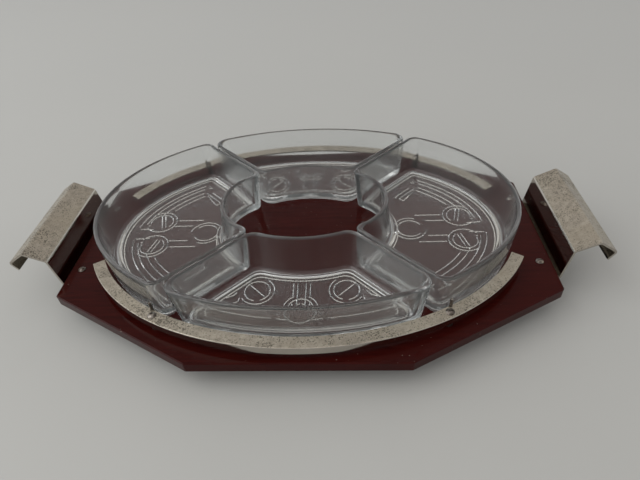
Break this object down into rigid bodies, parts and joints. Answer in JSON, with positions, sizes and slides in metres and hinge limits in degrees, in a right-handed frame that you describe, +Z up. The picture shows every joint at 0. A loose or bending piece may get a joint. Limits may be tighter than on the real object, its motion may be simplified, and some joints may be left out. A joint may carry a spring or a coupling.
{
  "type": "lazy susan turntable",
  "caption": "Oval serving tray that turns on a low ball-bearing swivel: octagonal lacquered board, plated end handles and gallery bands round lift-out glass dishes.",
  "frame": {"origin": "on the table under the swivel's axis, level with the underside of the rubber feet", "axes": "+X along the tray through both handles, +Z up, -Y towards the front"},
  "size_m": [0.4498, 0.256, 0.0612],
  "materials": {
    "lacquered_wood": "dark red-brown gloss lacquer",
    "base_wood": "dark stained, satin",
    "nickel_plate": "worn nickel plate with fine pitting",
    "swivel_steel": "plain steel, lightly oiled",
    "clear_glass": "clear pressed glass, polished",
    "rubber": "matt black"
  },
  "bodies": {
    "base": {"rubber_feet": "rubber", "base_disc": "base_wood", "lower_race": "swivel_steel", "lower_race_screws": "swivel_steel", "pivot_rivet": "swivel_steel"},
    "ball_set": {"ball_cage": "swivel_steel", "bearing_balls": "swivel_steel"},
    "tray": {"upper_race": "swivel_steel", "upper_race_screws": "swivel_steel", "wooden_board": "lacquered_wood", "left_handle": "nickel_plate", "right_handle": "nickel_plate", "left_handle_bolts": "nickel_plate", "right_handle_bolts": "nickel_plate", "left_handle_nuts": "swivel_steel", "right_handle_nuts": "swivel_steel", "front_gallery_band": "nickel_plate", "back_gallery_band": "nickel_plate", "front_gallery_posts": "nickel_plate", "back_gallery_posts": "nickel_plate", "front_gallery_screws": "nickel_plate", "back_gallery_screws": "nickel_plate", "front_dish_pegs": "nickel_plate", "back_dish_pegs": "nickel_plate"},
    "left_dish": {"left_glass_dish": "clear_glass"},
    "right_dish": {"right_glass_dish": "clear_glass"},
    "front_dish": {"front_glass_dish": "clear_glass"},
    "back_dish": {"back_glass_dish": "clear_glass"}
  },
  "joints": [
    {"name": "tray_spin", "type": "hinge", "parent": "base", "child": "tray", "pos_m": [0, 0, 0.01225], "axis": [0, 0, 1], "continuous": true},
    {"name": "ball_set_spin", "type": "hinge", "parent": "base", "child": "ball_set", "pos_m": [0, 0, 0.01225], "axis": [0, 0, 1], "continuous": true},
    {"name": "left_dish_lift", "type": "slide", "parent": "tray", "child": "left_dish", "axis": [0, 0, 1], "range_m": [0, 0.06]},
    {"name": "right_dish_lift", "type": "slide", "parent": "tray", "child": "right_dish", "axis": [0, 0, 1], "range_m": [0, 0.06]},
    {"name": "front_dish_lift", "type": "slide", "parent": "tray", "child": "front_dish", "axis": [0, 0, 1], "range_m": [0, 0.06]},
    {"name": "back_dish_lift", "type": "slide", "parent": "tray", "child": "back_dish", "axis": [0, 0, 1], "range_m": [0, 0.06]}
  ],
  "couplings": [
    {"joint": "ball_set_spin", "follows": "tray_spin", "ratio": 0.5}
  ]
}
